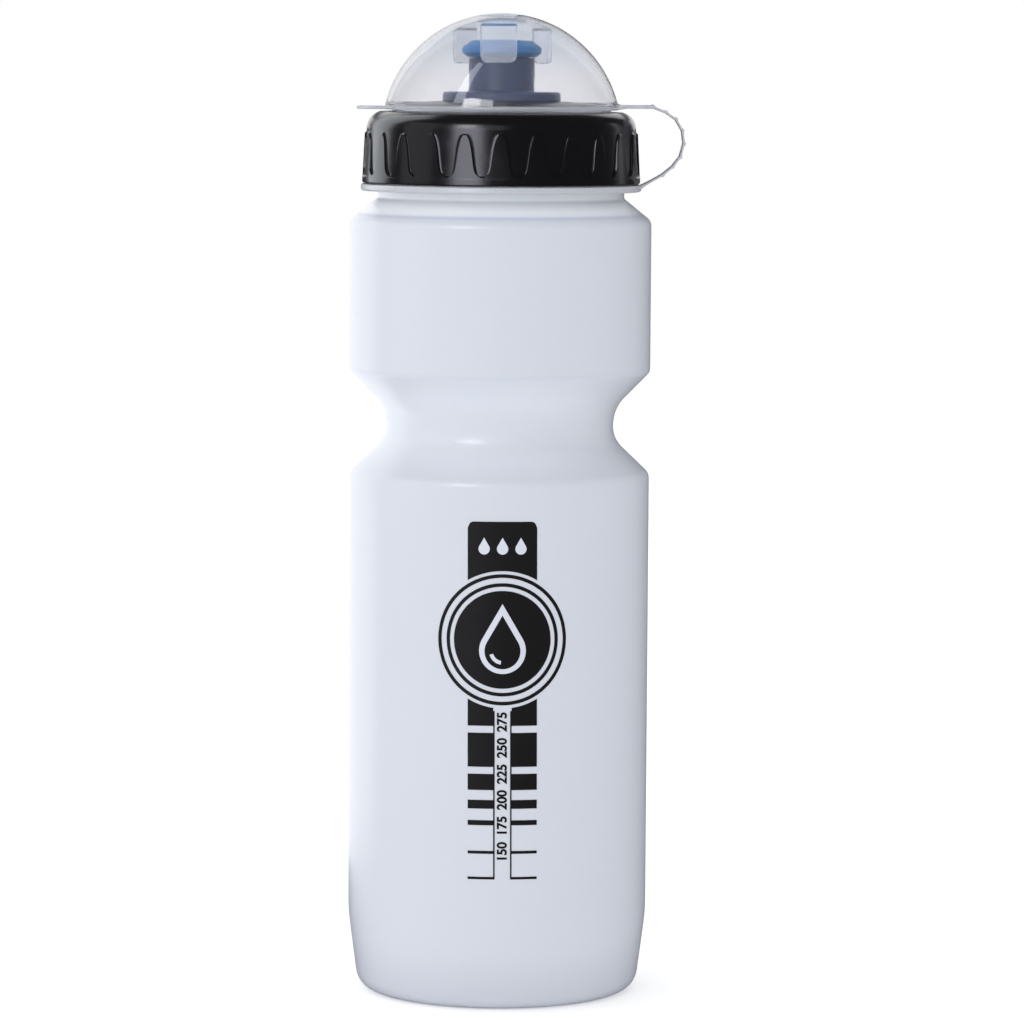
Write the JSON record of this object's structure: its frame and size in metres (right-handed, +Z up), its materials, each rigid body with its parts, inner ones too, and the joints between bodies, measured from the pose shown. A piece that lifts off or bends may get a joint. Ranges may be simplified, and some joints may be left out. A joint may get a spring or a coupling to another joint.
{
  "type": "bicycle water bottle",
  "caption": "Squeeze bottle for a bicycle cage, with a grip waist, a toothed screw cap, a push-pull spout and a clear dust dome on a ribbed strap.",
  "frame": {"origin": "centre of the base, on the plane that the bottle stands on", "axes": "+Z up along the bottle's axis, -Y to the printed front, +X to the strap"},
  "size_m": [0.0816, 0.0734, 0.2395],
  "materials": {
    "squeeze_body": "milky translucent LDPE, satin",
    "cap_plastic": "black PP, fine satin",
    "seal_rubber": "pale soft elastomer",
    "collar_plastic": "slate blue PP, satin",
    "nozzle_soft": "bright blue soft elastomer",
    "clear_plastic": "clear, slightly hazy PP",
    "strap_plastic": "natural translucent LDPE"
  },
  "bodies": {
    "bottle": {"bottle_body": "squeeze_body"},
    "seal": {"cap_seal": "seal_rubber"},
    "cap": {"screw_cap": "cap_plastic", "spout_collar": "collar_plastic"},
    "nozzle": {"nozzle_stem": "collar_plastic", "nozzle_tip": "nozzle_soft"},
    "ring": {"tether_ring": "strap_plastic"},
    "link_1": {"strap_link_1": "strap_plastic"},
    "link_2": {"strap_link_2": "strap_plastic"},
    "link_3": {"strap_link_3": "strap_plastic"},
    "link_4": {"strap_link_4": "strap_plastic"},
    "link_5": {"strap_link_5": "strap_plastic"},
    "link_6": {"strap_link_6": "strap_plastic"},
    "link_7": {"strap_link_7": "strap_plastic"},
    "dome": {"dust_dome": "clear_plastic"}
  },
  "joints": [
    {"name": "cap_rise", "type": "slide", "parent": "bottle", "child": "seal", "axis": [0, 0, 1], "range_m": [0, 0.015]},
    {"name": "cap_turn", "type": "hinge", "parent": "seal", "child": "cap", "pos_m": [0, 0, 0.205], "axis": [0, 0, 1], "range_deg": [0, 1080]},
    {"name": "spout_pull", "type": "slide", "parent": "cap", "child": "nozzle", "axis": [0, 0, 1], "range_m": [0, 0.0044]},
    {"name": "cover_swivel", "type": "hinge", "parent": "cap", "child": "ring", "pos_m": [0, 0, 0.1972], "axis": [0, 0, 1], "continuous": true},
    {"name": "strap_bend_1", "type": "hinge", "parent": "ring", "child": "link_1", "pos_m": [0.0393, 0, 0.2005], "axis": [0, 1, 0], "range_deg": [0, 22.5]},
    {"name": "strap_bend_2", "type": "hinge", "parent": "link_1", "child": "link_2", "pos_m": [0.0417, 0, 0.2025], "axis": [0, 1, 0], "range_deg": [0, 22.51]},
    {"name": "strap_bend_3", "type": "hinge", "parent": "link_2", "child": "link_3", "pos_m": [0.04355, 0, 0.2049], "axis": [0, 1, 0], "range_deg": [0, 22.51]},
    {"name": "strap_bend_4", "type": "hinge", "parent": "link_3", "child": "link_4", "pos_m": [0.0444, 0, 0.2081], "axis": [0, 1, 0], "range_deg": [0, 22.51]},
    {"name": "strap_bend_5", "type": "hinge", "parent": "link_4", "child": "link_5", "pos_m": [0.044, 0, 0.21125], "axis": [0, 1, 0], "range_deg": [0, 22.51]},
    {"name": "strap_bend_6", "type": "hinge", "parent": "link_5", "child": "link_6", "pos_m": [0.0424, 0, 0.21395], "axis": [0, 1, 0], "range_deg": [0, 22.51]},
    {"name": "strap_bend_7", "type": "hinge", "parent": "link_6", "child": "link_7", "pos_m": [0.04, 0, 0.2156], "axis": [0, 1, 0], "range_deg": [0, 22.51]},
    {"name": "strap_bend_8", "type": "hinge", "parent": "link_7", "child": "dome", "pos_m": [0.0368, 0, 0.2169], "axis": [0, 1, 0], "range_deg": [0, 22.51]}
  ],
  "couplings": [
    {"joint": "cap_rise", "follows": "cap_turn", "m_per_rad": 0.00079577},
    {"joint": "strap_bend_2", "follows": "strap_bend_1", "ratio": 1},
    {"joint": "strap_bend_3", "follows": "strap_bend_1", "ratio": 1},
    {"joint": "strap_bend_4", "follows": "strap_bend_1", "ratio": 1},
    {"joint": "strap_bend_5", "follows": "strap_bend_1", "ratio": 1},
    {"joint": "strap_bend_6", "follows": "strap_bend_1", "ratio": 1},
    {"joint": "strap_bend_7", "follows": "strap_bend_1", "ratio": 1},
    {"joint": "strap_bend_8", "follows": "strap_bend_1", "ratio": 1}
  ]
}
